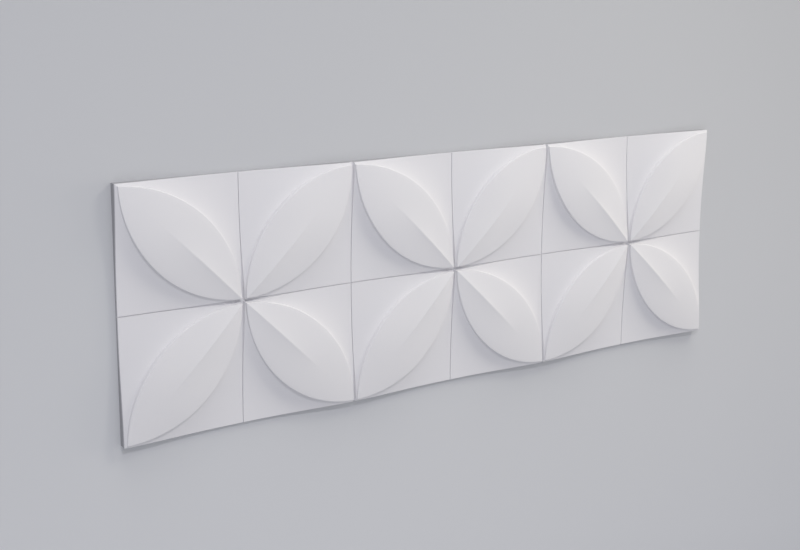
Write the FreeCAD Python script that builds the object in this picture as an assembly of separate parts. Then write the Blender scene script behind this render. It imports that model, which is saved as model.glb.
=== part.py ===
"""A moulded wall panel with a four-petal relief, one solid piece.

The panel is a row of flowers.  A flower is two by two square fields, and each field carries one
raised petal along its diagonal, from the flower's centre to the opposite corner.  Fine grooves
divide the fields.  The panel lies on its flat back with the relief up: the origin is the middle
of the back, X runs along the panel, Y across it and Z out of the wall.
"""
import FreeCAD
import Part
import math
import os

# Driving dimensions, in millimetres and degrees
field_side = 190.0         # side of one square field
flowers_along = 3          # flowers in the row, two fields each along X
corner_thickness = 7.0     # thickness at the two low corners of a field
cove_run = 70.0            # width of the coved ground outside the quarter circle about a low corner
cove_bend = 0.286          # share of that width where the foot's slope would meet the corner's level
foot_inset = 3.2           # how far the petal's foot lies inside the quarter circle
foot_rise = 9.2            # rise of the ground from a low corner to the petal's foot
wall_draft = 6.0           # lean of the petal's wall, from upright
ridge_start = 3.6          # ridge over the petal's foot, at the flower's centre
ridge_crest = 12.3         # ridge over the petal's foot, at its highest point
ridge_tip = 2.0            # ridge over the petal's foot, at the outer tip
crest_distance = 106.0     # from the flower's centre to the highest point of the ridge
ridge_lean = 0.8           # how early the ridge falls past its crest: 0 is a plain parabola
crease_slope = 14.0        # fall of the petal's two sides right beside the crease
crease_reach = 20.0        # how far off the ridge the crease's fall eases out
crease_sharp = 75.0        # length of the ridge that stays a sharp crease
crease_end = 190.0         # length after which the crease has melted away
dome_radius = 380.0        # crosswise radius of the petal's top
groove_width = 1.5         # fine grooves between the fields
groove_depth = 2.0
mouth_width = 5.6          # the same grooves where they open between two petal tips
mouth_depth = 4.5
mouth_run = 80.0           # length over which a groove narrows from its mouth

# Working margins
cut_margin = 4.0           # how far the cutting shapes run past what they cut
turn_margin = 3.0          # and how far a turned one does, in degrees
crown_rows = 15            # stations of the crown surface along a petal
crown_columns = 7          # and across half of it
groove_stations = 11       # points along the floor of one groove

# Derived sizes
diagonal = field_side * math.sqrt(2)
cove_knee = cove_run * cove_bend
foot_height = corner_thickness + foot_rise
petal_half_width = field_side - diagonal / 2
stock_height = foot_height + ridge_crest + cut_margin
up = FreeCAD.Vector(0, 0, 1)


def cove_height(outside):
    """Height of the coved ground at a distance outside the quarter circle.

    The cove is the quadratic curve with its poles at the cove's end, its knee and the petal's foot.
    """
    run = max(cove_run - outside, 0.0)
    reach = 2 * (cove_run - cove_knee)
    bend = cove_run - 2 * cove_knee - foot_inset
    share = 2 * run / (reach + math.sqrt(reach ** 2 - 4 * bend * run))
    return corner_thickness + foot_rise * share ** 2


def ground_cutter():
    """What is taken off outside one edge of a petal, turned about the low corner opposite it.

    The section is the petal's drafted wall and the cove that runs out level before the low corner.
    """
    foot = FreeCAD.Vector(field_side - foot_inset, 0, foot_height)
    knee = FreeCAD.Vector(field_side + cove_knee, 0, corner_thickness)
    cove_end = FreeCAD.Vector(field_side + cove_run, 0, corner_thickness)
    cove = Part.BezierCurve()
    cove.setPoles([foot, knee, cove_end])

    wall_rise = stock_height + cut_margin - foot_height
    wall_lean = wall_rise * math.tan(math.radians(wall_draft))
    wall_top = foot + FreeCAD.Vector(-wall_lean, 0, wall_rise)
    run_out = FreeCAD.Vector(diagonal + cut_margin, 0, corner_thickness)
    lid = FreeCAD.Vector(run_out.x, 0, wall_top.z)
    section = Part.Wire([
        Part.LineSegment(wall_top, foot).toShape(),
        cove.toShape(),
        Part.LineSegment(cove_end, run_out).toShape(),
        Part.LineSegment(run_out, lid).toShape(),
        Part.LineSegment(lid, wall_top).toShape(),
    ])
    ring = Part.Face(section).revolve(FreeCAD.Vector(), up, 90 + 2 * turn_margin)
    ring.rotate(FreeCAD.Vector(), up, 90 - turn_margin)
    ring.translate(FreeCAD.Vector(field_side, 0, 0))
    return ring


def ridge_height(along):
    """Height of the petal's ridge over the back: a parabola up to the crest, a leaning one past it."""
    if along < crest_distance:
        share = 1 - along / crest_distance
        drop = (ridge_crest - ridge_start) * share ** 2
    else:
        share = (along - crest_distance) / (diagonal - crest_distance)
        drop = (ridge_crest - ridge_tip) * share ** 2 * (1 + ridge_lean * (1 - share))
    return foot_height + ridge_crest - drop


def crown_height(along, off):
    """Height of the petal's top: the ridge, less a crease that melts away outwards, less a wide dome."""
    melt = min(max((along - crease_sharp) / (crease_end - crease_sharp), 0.0), 1.0)
    slope = math.tan(math.radians(crease_slope)) * (1 - melt * melt * (3 - 2 * melt))
    crease_fall = slope * crease_reach * (1 - math.exp(-off / crease_reach))
    return ridge_height(along) - crease_fall - off ** 2 / (2 * dome_radius)


def crown_cutter():
    """What is taken off above one half of a petal, on the low-X side of its ridge."""
    along_unit = FreeCAD.Vector(1, 1, 0).normalize()
    off_unit = FreeCAD.Vector(-1, 1, 0).normalize()
    length = diagonal + 2 * cut_margin
    width = petal_half_width + cut_margin
    grid = []
    for row in range(crown_rows):
        along = length * row / (crown_rows - 1) - cut_margin
        offs = [width * column / (crown_columns - 1) for column in range(crown_columns)]
        grid.append([along_unit * along + off_unit * off + up * crown_height(along, off) for off in offs])
    crown = Part.BSplineSurface()
    crown.interpolate(grid)
    return crown.toShape().extrude(up * stock_height)


def field_block():
    """One square field, its flower's centre at the origin and its petal towards +X +Y."""
    across_ridge = FreeCAD.Vector(1, -1, 0)
    block = Part.makeBox(field_side, field_side, stock_height)
    for cutter in (ground_cutter(), crown_cutter()):
        block = block.cut(cutter)
        block = block.cut(cutter.mirror(FreeCAD.Vector(), across_ridge))
    return block


def groove_floor(run):
    """Height of a groove's floor at a run from the petal tips; it deepens towards its mouth there."""
    outside = math.hypot(field_side, run) - field_side
    share = max(mouth_run - run, 0.0) / (mouth_run - mouth_width / 2)
    depth = groove_depth + (mouth_depth - groove_depth) * share ** 2
    return cove_height(outside) - depth


def groove_blade():
    """The cutter of one groove, from the petal tips at the origin along +X to a low corner.

    A prism with the groove's floor below it is trimmed to the groove's plan.  The mouth is a level
    square, shared by all the grooves that meet there; from it the groove rises and tapers to its
    plain width.
    """
    mouth = mouth_width / 2
    floor_points = []
    for station in range(groove_stations):
        run = mouth + (field_side - mouth) * station / (groove_stations - 1)
        floor_points.append(FreeCAD.Vector(run, -mouth_width, groove_floor(run)))
    floor = Part.BSplineCurve()
    floor.interpolate(floor_points)
    first, last = floor_points[0], floor_points[-1]
    start = FreeCAD.Vector(-mouth, first.y, first.z)
    top_start = FreeCAD.Vector(start.x, first.y, stock_height)
    top_last = FreeCAD.Vector(last.x, last.y, stock_height)
    outline = Part.Wire([
        Part.LineSegment(start, first).toShape(),
        floor.toShape(),
        Part.LineSegment(last, top_last).toShape(),
        Part.LineSegment(top_last, top_start).toShape(),
        Part.LineSegment(top_start, start).toShape(),
    ])
    prism = Part.Face(outline).extrude(FreeCAD.Vector(0, 2 * mouth_width, 0))

    half = groove_width / 2
    edge = [(-mouth, mouth), (mouth, mouth), (mouth_run, half), (field_side, half)]
    plan = [FreeCAD.Vector(x, y, 0) for x, y in edge]
    plan += [FreeCAD.Vector(x, -y, 0) for x, y in reversed(edge)]
    trimmer = Part.Face(Part.makePolygon(plan + plan[:1])).extrude(up * stock_height)
    return prism.common(trimmer)


def placed(shape, turn, x, y):
    """A copy of a shape turned about Z and moved."""
    copy = shape.copy()
    copy.rotate(FreeCAD.Vector(), up, turn)
    copy.translate(FreeCAD.Vector(x, y, 0))
    return copy


def flower_block():
    """Four fields mirrored about the flower's centre, in one piece, with the grooves between them."""
    quarter = field_block()
    half = [quarter, quarter.mirror(FreeCAD.Vector(), FreeCAD.Vector(1, 0, 0))]
    fields = half + [block.mirror(FreeCAD.Vector(), FreeCAD.Vector(0, 1, 0)) for block in half]
    flower = fields[0].multiFuse(fields[1:]).removeSplitter()
    blade = groove_blade()
    for turn in (0, 90, 180, 270):
        flower = flower.cut(placed(blade, turn, 0, 0))
    return flower


def wall_panel():
    """The whole panel: the row of flowers in one piece, with the grooves between the flowers."""
    pitch = 2 * field_side
    centres = [(place - (flowers_along - 1) / 2) * pitch for place in range(flowers_along)]
    flower = flower_block()
    flowers = [placed(flower, 0, x, 0) for x in centres]
    panel = flowers[0].multiFuse(flowers[1:]).removeSplitter()
    blade = groove_blade()
    for x in centres[1:]:
        joint = x - field_side
        panel = panel.cut(placed(blade, -90, joint, field_side))
        panel = panel.cut(placed(blade, 90, joint, -field_side))
    return panel.removeSplitter().Solids[0]


panel = wall_panel()
os.makedirs("parts", exist_ok=True)
panel.exportStep("parts/wall_panel.step")
box = panel.optimalBoundingBox()
print("wall_panel", panel.ShapeType, "solids", len(panel.Solids), "faces", len(panel.Faces),
      "valid", panel.isValid(), "volume", round(panel.Volume, 1),
      "size", round(box.XLength, 2), round(box.YLength, 2), round(box.ZLength, 2))
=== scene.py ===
"""Petal wall panel: the finish of a moulded relief panel, laid out as an add-on.

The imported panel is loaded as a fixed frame.  One operator lays a finer skin of the same relief over
it, with softened rims and clean grooves, and gives it its primed white finish.  A second operator
sets the stage: a plain grey floor, soft studio light and the camera.
"""
import math

import bpy
import numpy as np
from bpy.props import FloatProperty, FloatVectorProperty, IntProperty, PointerProperty
from bpy.types import Operator, Panel, PropertyGroup
from mathutils import Matrix, Vector


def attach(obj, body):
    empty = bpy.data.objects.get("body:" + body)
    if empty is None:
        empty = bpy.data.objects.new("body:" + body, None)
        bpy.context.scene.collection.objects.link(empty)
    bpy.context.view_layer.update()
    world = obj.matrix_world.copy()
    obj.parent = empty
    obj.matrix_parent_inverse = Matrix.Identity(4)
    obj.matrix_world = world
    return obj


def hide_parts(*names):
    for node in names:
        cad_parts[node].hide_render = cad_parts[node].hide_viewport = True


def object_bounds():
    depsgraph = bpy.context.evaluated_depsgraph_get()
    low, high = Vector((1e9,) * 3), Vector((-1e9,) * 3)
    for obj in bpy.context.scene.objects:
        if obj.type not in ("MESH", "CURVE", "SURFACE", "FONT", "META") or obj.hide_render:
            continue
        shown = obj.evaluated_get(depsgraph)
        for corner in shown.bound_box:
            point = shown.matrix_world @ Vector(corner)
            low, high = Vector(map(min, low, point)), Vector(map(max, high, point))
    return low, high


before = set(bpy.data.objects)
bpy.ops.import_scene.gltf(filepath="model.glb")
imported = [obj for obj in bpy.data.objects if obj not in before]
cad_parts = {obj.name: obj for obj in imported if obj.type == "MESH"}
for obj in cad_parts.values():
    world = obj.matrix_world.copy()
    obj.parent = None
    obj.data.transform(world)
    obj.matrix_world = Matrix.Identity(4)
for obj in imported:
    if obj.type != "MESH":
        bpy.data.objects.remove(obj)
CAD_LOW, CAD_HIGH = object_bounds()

bl_info = {
    "name": "Petal wall panel",
    "version": (1, 0, 0),
    "blender": (4, 5, 0),
    "location": "3D View > Sidebar > Petal panel",
    "description": "Builds a moulded wall panel with a four-petal relief and its studio stage",
    "category": "Add Mesh",
}

MM = 0.001
NODE = "wall_panel"
BODY = "root"
SLOT = "primed_white"
FLOWERS_ALONG = 3
FIELDS_ALONG = 2 * FLOWERS_ALONG

# Grid of the skin
LIP_FLOOR = 0.8             # share of a groove's half width where its side wall reaches the floor
RIM_COLUMNS = 4             # columns round a petal's rim
WALL_COLUMNS = 3            # down its wall
COVE_COLUMNS = 15           # over the cove
CROWN_COLUMNS = 11          # and from its ridge to its rim
COLUMN_CROWDING = 1.6       # power that crowds columns at a petal's foot and at its ridge
RAY_CROWDING = 0.6          # how much denser the rays are at a petal's tips
RAY_CLEARANCE = math.radians(0.4)   # rays nearer than this to the opposite corner's are left out
RIM_SHARE_OF_CROWN = 0.25   # the most that a rounded rim takes of a petal's half width
RIM_SHARE_OF_WALL = 0.4     # and of its wall
ROUNDS = 16                 # rounds of a repeated solution
NEARLY_ZERO = 1e-9          # keeps a ray along an edge from a division by zero
TURN_SLACK = 1e-7           # a ray this near to a petal's tip still counts as on the petal
WELD = 2 * MM * MM          # points nearer than two micrometres are one
SHARP_EDGE = math.radians(35.0)     # shading breaks where faces turn by more
BELOW_EDGE = "below_edge"   # attribute: how far a point lies below the front edge

# Primer, with painted shade in its low ground and painted shade on its sides and back
HOLLOW_SHADE = 0.9       # painted shade: how much darker and cooler the primer is painted from the highest point down to the back
CLOUD_THINNING = 0.3        # how much the coat thins in the faint clouds
RAGGED_EDGE = 1.5 * MM      # how unevenly the painted shade on the sides begins
UNSHADED_SHARE = 0.2             # share of that depth that stays fully primer white, without painted shade
SPECK = 0.93                # tone of the darker specks in the sides' painted shade
GRAIN_ROUGHNESS = 0.06      # how much the grain changes the roughness
CLOUD_ROUGHNESS = 0.04      # and the clouds
SIDE_ROUGHNESS = 0.2        # how much rougher the sides and back are than the primer
GRAIN_RELIEF = 0.7          # share of the grain in the bump; the peel has the rest

# Stage
FLOOR_MOTTLE = 0.04         # how much a faint mottle changes the floor's tone
MOTTLE_WIDTH = 300 * MM
IMAGE_WIDTH, IMAGE_HEIGHT = 800, 550
SENSOR_WIDTH = 36.0
FAR_LIGHT_PLACE = 4.0       # where a far light hangs, in metres; only its direction counts


def length(name, description, default):
    """A size in metres that a user may change."""
    return FloatProperty(name=name, description=description, default=default, min=0.0, unit="LENGTH",
                         precision=5)


def angle(name, description, degrees):
    """An angle that a user may change."""
    return FloatProperty(name=name, description=description, default=math.radians(degrees),
                         subtype="ANGLE")


def factor(name, description, default, low=0.0, high=1.0):
    """A share that a user may change."""
    return FloatProperty(name=name, description=description, default=default, min=low, max=high,
                         subtype="FACTOR")


def colour(name, description, default):
    """A linear colour that a user may change."""
    return FloatVectorProperty(name=name, description=description, default=default, size=3, min=0.0,
                               max=1.0, subtype="COLOR")


class PetalPanelShape(PropertyGroup):
    """Sizes of the relief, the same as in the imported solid, and of the finer edges laid over it."""

    field_side: length("Field side", "Side of one square field",
                       (CAD_HIGH.x - CAD_LOW.x) / FIELDS_ALONG)
    corner_thickness: length("Corner thickness", "Thickness at the low corners of a field", 7.0 * MM)
    cove_run: length("Cove run", "Width of the coved ground outside the quarter circle", 70.0 * MM)
    cove_bend: factor("Cove bend", "Share of the run where the foot's slope meets the level",
                      0.286, low=0.05, high=0.45)
    foot_inset: length("Foot inset", "How far a petal's foot lies inside the quarter circle", 3.2 * MM)
    foot_rise: length("Foot rise", "Rise of the ground from a low corner to a petal's foot", 9.2 * MM)
    wall_draft: angle("Wall draft", "Lean of a petal's wall from upright", 6.0)
    ridge_start: length("Ridge start", "Ridge over the petal's foot at the flower's centre", 3.6 * MM)
    ridge_crest: length("Ridge crest", "Ridge over the petal's foot at its highest point", 12.3 * MM)
    ridge_tip: length("Ridge tip", "Ridge over the petal's foot at the outer tip", 2.0 * MM)
    crest_distance: length("Crest distance", "From the flower's centre to the highest point",
                           106.0 * MM)
    ridge_lean: FloatProperty(name="Ridge lean", description="How early the ridge falls past its crest",
                              default=0.8)
    crease_slope: angle("Crease slope", "Fall of the two sides right beside the crease", 14.0)
    crease_reach: length("Crease reach", "How far off the ridge the crease's fall eases out", 20.0 * MM)
    crease_sharp: length("Sharp crease", "Length of the ridge that stays a sharp crease", 75.0 * MM)
    crease_end: length("Crease end", "Length after which the crease has melted away", 190.0 * MM)
    dome_radius: length("Dome radius", "Crosswise radius of a petal's top", 380.0 * MM)
    groove_width: length("Groove width", "Width of the grooves between the fields", 1.5 * MM)
    groove_depth: length("Groove depth", "Depth of the grooves between the fields", 2.0 * MM)
    mouth_width: length("Mouth width", "Width of a groove where it opens between two petal tips",
                        5.6 * MM)
    mouth_depth: length("Mouth depth", "Depth of a groove between two petal tips", 4.5 * MM)
    mouth_run: length("Mouth run", "Length over which a groove narrows from its mouth", 80.0 * MM)
    rim_softness: length("Rim softness", "How far the paint rounds a petal's rim", 0.5 * MM)
    rays: IntProperty(name="Rays", description="Grid lines along a petal's edge", default=84, min=12)


class PetalPanelFinish(PropertyGroup):
    """Colours of the primed surface and of the painted shade on the sides and back, and the widths of
    their patterns.
    """

    primer: colour("Primer", "Matt white primer", (0.81, 0.804, 0.817))
    # Painted shade: the low ground is painted towards this darker, cooler primer; the faint clouds use
    # it too.
    primer_shade_and_cloud: colour("Cool primer", "Primer where the coat is thinner", (0.782, 0.778, 0.804))
    # Painted shade: the sides and the back are painted this dark grey.
    core: colour("Core", "Uncoated core at the sides and the back", (0.40, 0.40, 0.42))
    # Painted shade on the sides starts below the front edge and is full at this depth.
    wrap: length("Wrap", "How far the primer wraps down the sides before it has faded out", 5.0 * MM)
    roughness: factor("Roughness", "Mean roughness of the primer", 0.62)
    grain: length("Grain", "Width of the fine grain in the primer", 0.9 * MM)
    peel: length("Orange peel", "Width of the soft waves in the primer", 6 * MM)
    cloud: length("Clouds", "Width of the faint clouds in the primer", 120 * MM)


class PetalPanelStage(PropertyGroup):
    """Floor, light and camera."""

    floor_far: colour("Floor", "Plain grey floor, away from the lamps", (0.700, 0.712, 0.735))
    floor_near: colour("Lit floor", "The same floor, towards the lamps", (0.530, 0.540, 0.556))
    floor_balance: factor("Floor balance", "Share of the lit floor's tone at the panel's middle", 0.415)
    floor_slope: FloatVectorProperty(name="Floor slope", description="Change of that share in a metre",
                                     size=3, default=(0.16, 0.89, 0.0))
    floor_reach: length("Floor reach", "From the panel's middle to a side of the floor", 6.0)
    sky: colour("Sky", "Tint of the even light from all around", (0.92, 0.93, 1.0))
    sky_level: factor("Sky level", "Strength of the even light from all around", 0.460)
    eye: FloatVectorProperty(name="Eye", description="Where the camera stands", size=3,
                             default=(-1.1886, 0.4730, 1.6827), subtype="TRANSLATION", unit="LENGTH")
    aim: FloatVectorProperty(name="Aim", description="What the camera looks at", size=3,
                             default=(-0.1045, 0.1236, 0.0150), subtype="TRANSLATION", unit="LENGTH")
    focal_pixels: FloatProperty(name="Focal length", description="In pixels of the image's width",
                                default=1286.6)
    centre_row: FloatProperty(name="Optical centre", description="Image row that the lens looks at",
                              default=200.0)


class PetalRelief:
    """Heights of one field over the panel's back, for whole arrays of places.

    A field has the flower's centre at (0, 0) and the petal's outer tip at (side, side); the corners
    (side, 0) and (0, side) are low.  A petal's edges are quarter circles about the low corners.
    """

    def __init__(self, shape):
        self.shape = shape
        self.side = shape.field_side
        self.diagonal = self.side * math.sqrt(2)
        self.foot_height = shape.corner_thickness + shape.foot_rise
        self.half_groove = shape.groove_width / 2
        self.half_mouth = shape.mouth_width / 2
        self.taper_run = shape.mouth_run - self.half_mouth
        self.narrowing = (self.half_mouth - self.half_groove) / self.taper_run

    def groove_half(self, run):
        """Half width of a groove at a run from the petal tips: square mouth, taper, plain groove."""
        taper = self.half_mouth - self.narrowing * (run - self.half_mouth)
        return np.clip(taper, self.half_groove, self.half_mouth)

    def groove_floor(self, run):
        """Height of a groove's floor: the cove, less the plain depth and a parabola to the mouth."""
        shape = self.shape
        run = np.maximum(run, self.half_mouth)
        share = np.clip(shape.mouth_run - run, 0.0, None) / self.taper_run
        depth = shape.groove_depth + (shape.mouth_depth - shape.groove_depth) * share ** 2
        return self.cove(np.hypot(self.side, run) - self.side) - depth

    def cove(self, outside):
        """Quadratic curve: level at the low corner, rising ever steeper to the petal's foot."""
        shape = self.shape
        knee = shape.cove_run * shape.cove_bend
        reach = 2 * (shape.cove_run - knee)
        bend = shape.cove_run - 2 * knee - shape.foot_inset
        run = np.clip(shape.cove_run - outside, 0.0, None)
        share = 2 * run / (reach + np.sqrt(reach ** 2 - 4 * bend * run))
        return shape.corner_thickness + shape.foot_rise * share ** 2

    def section(self, outside):
        """Drafted straight wall inside the foot, and the cove outside it."""
        inside = -self.shape.foot_inset - outside
        wall = self.foot_height + inside / math.tan(self.shape.wall_draft)
        return np.where(inside > 0.0, wall, self.cove(np.maximum(outside, -self.shape.foot_inset)))

    def crown(self, along, off):
        """Petal's top: a ridge that rises as a parabola and falls as a cubic, less a crease and a dome.

        The crease's fall eases out sideways as an exponential and melts away along the ridge by a
        smooth step; the dome's fall is a parabola.
        """
        shape = self.shape
        inner = 1 - along / shape.crest_distance
        outer = (along - shape.crest_distance) / (self.diagonal - shape.crest_distance)
        drop = np.where(along < shape.crest_distance,
                        (shape.ridge_crest - shape.ridge_start) * inner ** 2,
                        (shape.ridge_crest - shape.ridge_tip)
                        * outer ** 2 * (1 + shape.ridge_lean * (1 - outer)))
        melt = np.clip((along - shape.crease_sharp) / (shape.crease_end - shape.crease_sharp), 0.0, 1.0)
        slope = math.tan(shape.crease_slope) * (1 - melt * melt * (3 - 2 * melt))
        crease_fall = slope * shape.crease_reach * (1 - np.exp(-np.abs(off) / shape.crease_reach))
        dome_fall = off ** 2 / (2 * shape.dome_radius)
        return self.foot_height + shape.ridge_crest - drop - crease_fall - dome_fall

    def place(self, turn, radius):
        """Polar place about the low corner (side, 0): turn 0 points at the flower's centre."""
        return self.side - radius * np.cos(turn), radius * np.sin(turn)

    def along_off(self, turn, radius):
        """The same place, measured along the petal's ridge and off it."""
        x, y = self.place(turn, radius)
        return (x + y) / math.sqrt(2), (y - x) / math.sqrt(2)

    def inset(self, height):
        """How far inside the quarter circle the wall has come at a height."""
        return self.shape.foot_inset + (height - self.foot_height) * math.tan(self.shape.wall_draft)

    def rim_radius(self, turn):
        """Radius at which the wall meets the crown, found by repeating height -> inset."""
        inset = np.zeros_like(turn)
        for _ in range(ROUNDS):
            height = self.crown(*self.along_off(turn, self.side - inset))
            inset = self.inset(height)
        return self.side - inset

    def tip_turn(self, far):
        """Turn at which the two rims meet on the ridge, at the flower's centre or at the far tip."""
        sign = 1.0 if far else -1.0
        along = self.diagonal if far else 0.0
        for _ in range(ROUNDS):
            height = float(self.crown(np.float64(along), np.float64(0.0)))
            radius = self.side - self.inset(height)
            root = math.sqrt(2 * self.side ** 2 - 4 * (self.side ** 2 - radius ** 2))
            along = (self.diagonal + sign * root) / 2
        leg = along / math.sqrt(2)
        return math.atan2(leg, self.side - leg)

    def ray_turns(self):
        """Turns of the grid's rays: dense at both tips, with rays through the grooves' corners."""
        first, last = self.tip_turn(False), self.tip_turn(True)
        share = np.linspace(0.0, 1.0, self.shape.rays)
        share = share - RAY_CROWDING * np.sin(2 * np.pi * share) / (2 * np.pi)
        turns = first + (last - first) * share
        lips = np.array([0.0, LIP_FLOOR, 1.0])
        corner = np.arctan2(self.side, self.side - self.half_groove * lips)
        mouth = np.arctan2(self.side, self.half_mouth * lips)
        turns = turns[np.abs(turns - math.pi / 4) > RAY_CLEARANCE]
        crossing = np.arctan2(self.half_mouth * lips, self.side - self.half_mouth * lips)
        return np.unique(np.concatenate([crossing, turns, corner, mouth]))


def edge_radius(relief, turns, near_share, far_share):
    """Where each ray meets the grooves' lips at a field's near edge (x = 0) and far edge (y = side).

    The shares scale a groove's half width, and 0 stands for the edge itself.  A lip is three straight
    lines: the square mouth, the taper and the plain groove.
    """
    toward, across = np.cos(turns), np.sin(turns)
    radius = np.full_like(turns, np.inf)
    for share, ahead, aside in ((near_share, toward, across), (far_share, across, toward)):
        narrowing = share * relief.narrowing
        reach = np.maximum(ahead, NEARLY_ZERO)
        taper_reach = np.maximum(ahead - narrowing * aside, NEARLY_ZERO)
        plain = (relief.side - share * relief.half_groove) / reach
        mouth = (relief.side - share * relief.half_mouth) / reach
        taper = (relief.side - (share + narrowing) * relief.half_mouth) / taper_reach
        radius = np.minimum(radius, np.minimum(plain, np.maximum(mouth, taper)))
    return radius


def ground_patch(relief, turns, far_groove, side_groove):
    """Rays about a low corner, from a petal's softened rim down its wall and out over the cove.

    Each ray's columns are a quadratic curve round the rim, the straight wall, the cove and the
    groove's side and floor.  Columns past the field's edge fold onto it.
    """
    shape = relief.shape
    side = relief.side
    wall_out, wall_up = math.sin(shape.wall_draft), math.cos(shape.wall_draft)
    middle = side / (np.cos(turns) + np.sin(turns))
    rim = np.maximum(relief.rim_radius(turns), middle)
    rim_z = relief.section(rim - side)
    wall_length = np.maximum(rim_z - relief.foot_height, 0.0) / wall_up
    soft = np.minimum(shape.rim_softness, RIM_SHARE_OF_CROWN * (rim - middle))
    soft = np.minimum(soft, RIM_SHARE_OF_WALL * wall_length)
    crown_edge = rim - soft
    crown_z = np.where(soft > 0.0, relief.crown(*relief.along_off(turns, crown_edge)), rim_z)
    wall_edge = rim + soft * wall_out
    wall_z = rim_z - soft * wall_up

    bend = np.linspace(0.0, 1.0, RIM_COLUMNS + 1)[:, None]
    weights = (1 - bend) ** 2, 2 * bend * (1 - bend), bend ** 2
    rim_radii = weights[0] * crown_edge + weights[1] * rim + weights[2] * wall_edge
    rim_heights = weights[0] * crown_z + weights[1] * rim_z + weights[2] * wall_z

    lip = edge_radius(relief, turns, 1.0, float(far_groove))
    lip_floor = edge_radius(relief, turns, LIP_FLOOR, LIP_FLOOR * far_groove)
    edge = edge_radius(relief, turns, 0.0, 0.0)

    wall_share = np.linspace(0.0, 1.0, WALL_COLUMNS + 1)[1:, None]
    foot = side - shape.foot_inset
    walls = wall_edge + (foot - wall_edge) * wall_share
    cove_share = np.linspace(0.0, 1.0, COVE_COLUMNS + 1)[1:, None] ** COLUMN_CROWDING
    coves = foot + (lip - foot) * cove_share
    outer = np.clip(np.concatenate([walls, coves]), wall_edge, None)

    radii = np.minimum(np.concatenate([rim_radii, outer]), np.maximum(lip, middle))
    radii = np.concatenate([radii, [np.maximum(lip_floor, middle), edge]])
    x, y = relief.place(turns, radii)
    z = relief.section(radii - side)
    z[:RIM_COLUMNS + 1] = np.where(soft > 0.0, rim_heights, z[:RIM_COLUMNS + 1])
    grooves = [(x, y)]
    if far_groove:
        grooves.append((side - y, side - x))
    if side_groove:
        grooves.append((side - x, side - y))
    for gap, run in grooves:
        in_groove = gap < relief.groove_half(run) * (1 + LIP_FLOOR) / 2
        z = np.where(in_groove, relief.groove_floor(run), z)
    return np.stack([x, y, z], axis=-1)


def crown_patch(relief, turns, ground):
    """Rows across a petal, straight from rim to rim, crowded at the ridge; height is the crown's."""
    edge = ground[0]
    first, last = relief.tip_turn(False), relief.tip_turn(True)
    inside = (turns > first - TURN_SLACK) & (turns < last + TURN_SLACK)
    edge = edge[inside]
    along = (edge[:, 0] + edge[:, 1]) / math.sqrt(2)
    half_width = np.maximum((edge[:, 1] - edge[:, 0]) / math.sqrt(2), 0.0)
    half_width[[0, -1]] = 0.0
    share = np.linspace(-1.0, 1.0, 2 * CROWN_COLUMNS + 1)[:, None]
    off = half_width * np.sign(share) * np.abs(share) ** COLUMN_CROWDING
    z = relief.crown(along + 0 * off, off)
    z[0] = z[-1] = edge[:, 2]
    return np.stack([(along - off) / math.sqrt(2), (along + off) / math.sqrt(2), z], axis=-1)


def grid_quads(rows, columns, start):
    """Corner numbers of the quads of a grid of points that are stored row by row."""
    index = start + np.arange(rows * columns).reshape(rows, columns)
    corners = [index[:-1, :-1], index[:-1, 1:], index[1:, 1:], index[1:, :-1]]
    return np.stack(corners, axis=-1).reshape(-1, 4)


def field_points(relief, joined):
    """Points and upward quads of one field; joined says that a groove runs along its outer X edge."""
    turns = relief.ray_turns()
    towards_y = ground_patch(relief, turns, False, joined)
    towards_x = ground_patch(relief, turns, joined, False)[:, :, [1, 0, 2]]
    crown = crown_patch(relief, turns, towards_y)
    points, quads, start = [], [], 0
    for patch, turned in ((towards_y, False), (towards_x, True), (crown, False)):
        corners = grid_quads(patch.shape[0], patch.shape[1], start)
        quads.append(corners[:, ::-1] if turned else corners)
        points.append(patch.reshape(-1, 3))
        start += points[-1].shape[0]
    return np.concatenate(points), np.concatenate(quads)


def relief_points(relief):
    """All fields of the panel: each is mirrored into its quarter of its flower and moved along X."""
    points, quads, start = [], [], 0
    pitch = 2 * relief.side
    for flower in range(FLOWERS_ALONG):
        centre = (flower - (FLOWERS_ALONG - 1) / 2) * pitch
        for turn_x in (-1, 1):
            joined = 0 <= flower + turn_x < FLOWERS_ALONG
            field, corners = field_points(relief, joined)
            for turn_y in (-1, 1):
                moved = field * [turn_x, turn_y, 1] + [centre, 0, 0]
                points.append(moved)
                quads.append(start + (corners if turn_x * turn_y > 0 else corners[:, ::-1]))
                start += moved.shape[0]
    return np.concatenate(points), np.concatenate(quads)


def weld(points, quads):
    """Joins points that share a place and returns the quads and triangles that still have an area."""
    grid = np.round(points / WELD).astype(np.int64)
    _, first, number = np.unique(grid, axis=0, return_index=True, return_inverse=True)
    quads = number.reshape(-1)[quads]
    same = quads == np.roll(quads, -1, axis=1)
    whole = quads[~same.any(axis=1) & (quads[:, 0] != quads[:, 2]) & (quads[:, 1] != quads[:, 3])]
    folded = same.sum(axis=1) == 1
    keep = np.argsort(same[folded], axis=1, kind="stable")[:, :3]
    triangles = np.take_along_axis(quads[folded], np.sort(keep, axis=1), axis=1)
    solid = (triangles[:, 0] != triangles[:, 1]) & (triangles[:, 1] != triangles[:, 2])
    solid &= triangles[:, 2] != triangles[:, 0]
    return points[first], whole, triangles[solid]


def outline_order(points, low, high):
    """Numbers of the points on the panel's outline, once round it counter-clockwise."""
    x, y = points[:, 0], points[:, 1]
    width, depth = high[0] - low[0], high[1] - low[1]
    sides = (
        (np.abs(y - low[1]) < WELD, x - low[0]),
        (np.abs(x - high[0]) < WELD, width + y - low[1]),
        (np.abs(y - high[1]) < WELD, width + depth + high[0] - x),
        (np.abs(x - low[0]) < WELD, 2 * width + depth + high[1] - y),
    )
    run = np.full(points.shape[0], np.inf)
    for on_side, distance in sides:
        run = np.where(on_side, np.minimum(run, distance), run)
    numbers = np.flatnonzero(np.isfinite(run))
    return numbers[np.argsort(run[numbers], kind="stable")]


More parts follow.
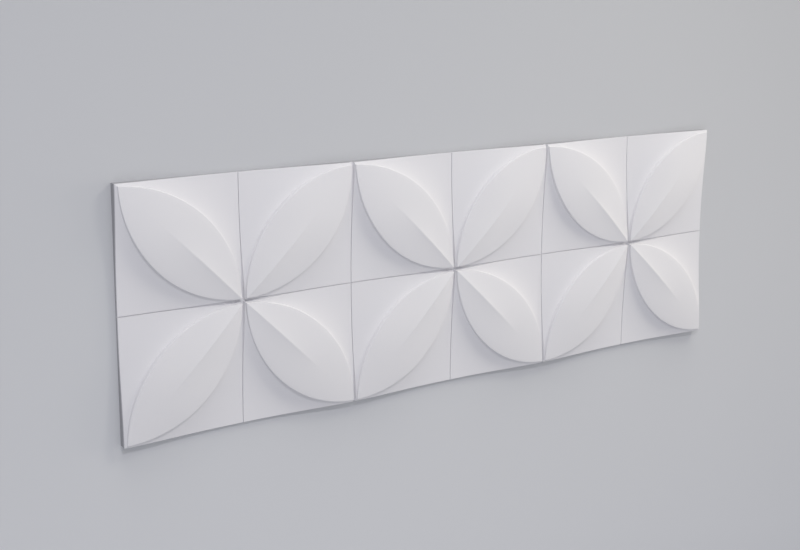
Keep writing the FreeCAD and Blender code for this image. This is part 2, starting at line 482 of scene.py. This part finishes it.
def panel_mesh(relief):
    """The closed panel: the welded relief, sides dropped from its outline and the flat back.

    An attribute holds how far each point lies below the front edge, which is 0 on the relief.
    """
    points, quads, triangles = weld(*relief_points(relief))
    outline = outline_order(points, points.min(axis=0), points.max(axis=0))
    lower = points[outline] * [1, 1, 0]
    count, total = outline.size, points.shape[0]
    below = total + np.arange(count)
    sides = np.stack([np.roll(outline, -1), outline, below, np.roll(below, -1)], axis=-1)
    faces = quads.tolist() + triangles.tolist() + sides.tolist() + [below[::-1].tolist()]
    mesh = bpy.data.meshes.new("petal_relief")
    mesh.from_pydata(np.concatenate([points, lower]).tolist(), [], faces)
    if mesh.validate():
        raise RuntimeError("the panel's mesh had faces that share all their corners")
    below_edge = np.concatenate([np.zeros(total), points[outline, 2]])
    mesh.attributes.new(BELOW_EDGE, "FLOAT", "POINT").data.foreach_set("value", below_edge)
    mesh.shade_smooth()
    mesh.set_sharp_from_angle(angle=SHARP_EDGE)
    return mesh


class ShaderValue:
    """An output socket that can be used in sums: each operation adds a Math node."""

    def __init__(self, sheet, socket):
        self.sheet = sheet
        self.socket = socket

    def math(self, operation, *values):
        """Adds a Math node on values or numbers."""
        return self.sheet.node("ShaderNodeMath", {"operation": operation}, dict(enumerate(values)))

    def __add__(self, other):
        return self.math("ADD", self, other)

    def __sub__(self, other):
        return self.math("SUBTRACT", self, other)

    def __mul__(self, other):
        return self.math("MULTIPLY", self, other)

    def __truediv__(self, other):
        return self.math("DIVIDE", self, other)

    def __rsub__(self, other):
        return self.math("SUBTRACT", other, self)

    def __rtruediv__(self, other):
        return self.math("DIVIDE", other, self)

    __radd__ = __add__
    __rmul__ = __mul__


class MaterialSheet:
    """A new material's node tree, with one method that adds any node."""

    def __init__(self, name):
        self.material = bpy.data.materials.new(name)
        self.material.use_nodes = True
        self.tree = self.material.node_tree
        self.tree.nodes.clear()

    def node(self, kind, settings=None, sockets=None, output=0):
        """Adds a node: settings come first, then values or links of its input sockets."""
        made = self.tree.nodes.new(kind)
        for name, value in (settings or {}).items():
            setattr(made, name, value)
        for name, value in (sockets or {}).items():
            if isinstance(value, ShaderValue):
                self.tree.links.new(value.socket, made.inputs[name])
            else:
                made.inputs[name].default_value = value
        return ShaderValue(self, made.outputs[output])

    def noise(self, place, width, detail=2.0):
        """Soft noise whose features are about the given width, in metres."""
        return self.node("ShaderNodeTexNoise", {}, {
            "Vector": place, "Scale": 1.0 / width, "Detail": detail})

    def mix(self, share, first, second):
        """Colour between two colours; the share is the second one's."""
        return self.node("ShaderNodeMix", {"data_type": "RGBA"}, {0: share, 6: first, 7: second},
                         output=2)

    def finish(self, shader):
        """Links the shader to the material's output."""
        output = self.tree.nodes.new("ShaderNodeOutputMaterial")
        self.tree.links.new(shader.socket, output.inputs["Surface"])
        return self.material


def primer_material(finish):
    """Matt white primer over a moulding.

    The low ground is painted darker and cooler as painted shade, and the coat is thinner in faint
    clouds, with a fine grain and soft orange peel.
    Below the front edge it fades into a dark grey painted shade that covers the sides and the back.
    """
    sheet = MaterialSheet(SLOT)
    place = sheet.node("ShaderNodeTexCoord", output="Object")
    height = sheet.node("ShaderNodeSeparateXYZ", {}, {"Vector": place}, output="Z")
    # Painted shade: the primer is painted darker and cooler the lower a point lies.
    depth_shade = 1.0 - height / CAD_HIGH.z
    cloud = sheet.noise(place, finish.cloud)
    peel = sheet.noise(place, finish.peel)
    grain = sheet.noise(place, finish.grain, detail=4.0)
    shade_and_cloud = HOLLOW_SHADE * depth_shade + CLOUD_THINNING * cloud
    tone = sheet.mix(shade_and_cloud, (*finish.primer, 1.0), (*finish.primer_shade_and_cloud, 1.0))
    # Painted shade: the sides and the back turn dark grey below the front edge, with a ragged start and
    # darker specks.
    below = sheet.node("ShaderNodeAttribute", {"attribute_name": BELOW_EDGE}, output="Fac")
    uneven = below + RAGGED_EDGE * (peel - 0.5)
    shaded_sides = sheet.node("ShaderNodeMapRange", {"interpolation_type": "SMOOTHSTEP"}, {
        "Value": uneven, "From Min": UNSHADED_SHARE * finish.wrap, "From Max": finish.wrap})
    specks = tuple(SPECK * part for part in finish.core)
    core = sheet.mix(grain, (*finish.core, 1.0), (*specks, 1.0))
    tone = sheet.mix(shaded_sides, tone, core)
    smoothest = finish.roughness - (GRAIN_ROUGHNESS + CLOUD_ROUGHNESS) / 2
    roughness = smoothest + GRAIN_ROUGHNESS * grain + CLOUD_ROUGHNESS * cloud + SIDE_ROUGHNESS * shaded_sides
    relief = GRAIN_RELIEF * grain + (1 - GRAIN_RELIEF) * peel
    normal = sheet.node("ShaderNodeBump", {}, {
        "Height": relief, "Strength": 0.12, "Distance": 0.1 * MM})
    shader = sheet.node("ShaderNodeBsdfPrincipled", {}, {
        "Base Color": tone, "Roughness": roughness, "Normal": normal, "Specular IOR Level": 0.35})
    return sheet.finish(shader)


def floor_material(stage):
    """Plain matt floor with a barely visible mottle.

    It is a little darker towards the lamps, so that it looks even under them.
    """
    sheet = MaterialSheet("stage_floor")
    place = sheet.node("ShaderNodeTexCoord", output="Object")
    nearness = sheet.node("ShaderNodeVectorMath", {"operation": "DOT_PRODUCT"},
                          {0: place, 1: stage.floor_slope}, output="Value")
    mottle = sheet.noise(place, MOTTLE_WIDTH)
    towards_light = stage.floor_balance + nearness + FLOOR_MOTTLE * mottle
    tone = sheet.mix(towards_light, (*stage.floor_far, 1.0), (*stage.floor_near, 1.0))
    shader = sheet.node("ShaderNodeBsdfDiffuse", {}, {"Color": tone})
    return sheet.finish(shader)


class PETALPANEL_OT_panel(Operator):
    """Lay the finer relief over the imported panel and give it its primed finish"""

    bl_idname = "petalpanel.panel"
    bl_label = "Build panel"

    def execute(self, context):
        scene = context.scene
        mesh = panel_mesh(PetalRelief(scene.petal_shape))
        mesh.materials.append(primer_material(scene.petal_finish))
        piece = bpy.data.objects.new("petal_relief", mesh)
        scene.collection.objects.link(piece)
        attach(piece, BODY)
        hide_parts(NODE)
        return {"FINISHED"}


def hang_lamp(scene, lamp, tint, azimuth, elevation, distance):
    """Hangs a lamp in a direction from the panel's middle, in degrees, and turns it to the middle."""
    lamp.color = tint
    flat = math.cos(math.radians(elevation))
    towards = Vector((flat * math.cos(math.radians(azimuth)), flat * math.sin(math.radians(azimuth)),
                      math.sin(math.radians(elevation))))
    holder = bpy.data.objects.new(lamp.name, lamp)
    holder.location = distance * towards
    holder.rotation_euler = towards.to_track_quat("Z", "Y").to_euler()
    scene.collection.objects.link(holder)


def add_softbox(scene, name, azimuth, elevation, distance, spread, level, tint, grid=180.0):
    """A round soft box.

    The spread is its width by its distance, and the level is the brightness of a white card at the
    panel's middle that faces the box.  A grid narrows its light to an angle, in degrees, and the
    energy is lowered by its focus so that the level stays.
    """
    half_grid = math.radians(grid / 2)
    focus = 1 - half_grid / math.tan(half_grid)
    lamp = bpy.data.lights.new(name, "AREA")
    lamp.shape = "DISK"
    lamp.size = spread * distance
    lamp.spread = 2 * half_grid
    lamp.energy = level * focus * (math.pi * distance) ** 2
    hang_lamp(scene, lamp, tint, azimuth, elevation, distance)


def add_far_light(scene, name, azimuth, elevation, spread, level, tint):
    """A soft light from far away, spread over an angle in degrees; its level is as a soft box's."""
    lamp = bpy.data.lights.new(name, "SUN")
    lamp.angle = math.radians(spread)
    lamp.energy = level * math.pi
    hang_lamp(scene, lamp, tint, azimuth, elevation, FAR_LIGHT_PLACE)


class PETALPANEL_OT_stage(Operator):
    """Set the floor, the soft studio light and the camera"""

    bl_idname = "petalpanel.stage"
    bl_label = "Set stage"

    def execute(self, context):
        scene = context.scene
        stage = scene.petal_stage
        self.set_floor(scene, stage)
        self.set_light(scene, stage)
        self.set_camera(scene, stage)
        scene.view_settings.view_transform = "Standard"
        return {"FINISHED"}

    def set_floor(self, scene, stage):
        """One square, level with the panel's back."""
        reach = stage.floor_reach
        corners = [(-reach, -reach, 0), (reach, -reach, 0), (reach, reach, 0), (-reach, reach, 0)]
        mesh = bpy.data.meshes.new("stage_floor")
        mesh.from_pydata(corners, [], [(0, 1, 2, 3)])
        mesh.materials.append(floor_material(stage))
        floor = bpy.data.objects.new("stage_floor", mesh)
        scene.collection.objects.link(floor)

    def set_light(self, scene, stage):
        """Even light from all around, three soft boxes and two far lights."""
        world = bpy.data.worlds.new("studio")
        world.use_nodes = True
        background = world.node_tree.nodes["Background"]
        background.inputs["Color"].default_value = (*stage.sky, 1.0)
        background.inputs["Strength"].default_value = stage.sky_level
        scene.world = world
        add_softbox(scene, "right", azimuth=0, elevation=15, distance=2.6, spread=0.45, level=0.310,
                    tint=(1.0, 0.91, 0.77), grid=50)
        add_softbox(scene, "key", azimuth=54, elevation=30, distance=2.3, spread=0.25, level=0.245,
                    tint=(1.0, 0.96, 0.84), grid=110)
        add_far_light(scene, "top", azimuth=90, elevation=15, spread=25, level=0.200,
                      tint=(1.0, 0.97, 0.92))
        add_softbox(scene, "side", azimuth=118, elevation=48, distance=2.6, spread=0.06, level=0.195,
                    tint=(0.97, 0.96, 1.0))
        add_far_light(scene, "fill", azimuth=225, elevation=40, spread=25, level=0.050,
                      tint=(1.0, 1.0, 1.0))

    def set_camera(self, scene, stage):
        """The camera at the eye, upright along Y, its optical centre shifted to the stage's row."""
        camera = bpy.data.cameras.new("camera")
        camera.sensor_width = SENSOR_WIDTH
        camera.lens = stage.focal_pixels / IMAGE_WIDTH * SENSOR_WIDTH
        camera.shift_y = (stage.centre_row - IMAGE_HEIGHT / 2) / IMAGE_WIDTH
        camera.clip_start = 10 * MM
        holder = bpy.data.objects.new("camera", camera)
        back = (Vector(stage.eye) - Vector(stage.aim)).normalized()
        right = Vector((0, 1, 0)).cross(back).normalized()
        turn = Matrix((right, back.cross(right), back)).transposed()
        holder.matrix_world = Matrix.Translation(Vector(stage.eye)) @ turn.to_4x4()
        scene.collection.objects.link(holder)
        scene.camera = holder


class PETALPANEL_PT_tools(Panel):
    """Sidebar list of the panel's operators and sizes"""

    bl_label = "Petal panel"
    bl_idname = "PETALPANEL_PT_tools"
    bl_space_type = "VIEW_3D"
    bl_region_type = "UI"
    bl_category = "Petal panel"

    def draw(self, context):
        layout = self.layout
        for operator in OPERATORS:
            layout.operator(operator.bl_idname)
        for group in GROUPS:
            settings = getattr(context.scene, group)
            for name in settings.bl_rna.properties.keys():
                if name not in {"rna_type", "name"}:
                    layout.prop(settings, name)


OPERATORS = (PETALPANEL_OT_panel, PETALPANEL_OT_stage)
GROUPS = {
    "petal_shape": PetalPanelShape,
    "petal_finish": PetalPanelFinish,
    "petal_stage": PetalPanelStage,
}
CLASSES = (*GROUPS.values(), *OPERATORS, PETALPANEL_PT_tools)


def register():
    """Registers the classes and gives each scene its groups of settings."""
    for item in CLASSES:
        bpy.utils.register_class(item)
    for name, group in GROUPS.items():
        setattr(bpy.types.Scene, name, PointerProperty(type=group))


def unregister():
    """Takes the groups of settings and the classes away again."""
    for name in GROUPS:
        delattr(bpy.types.Scene, name)
    for item in reversed(CLASSES):
        bpy.utils.unregister_class(item)


def main():
    """Builds the panel and its stage."""
    register()
    bpy.ops.petalpanel.panel()
    bpy.ops.petalpanel.stage()


if __name__ == "__main__":
    main()
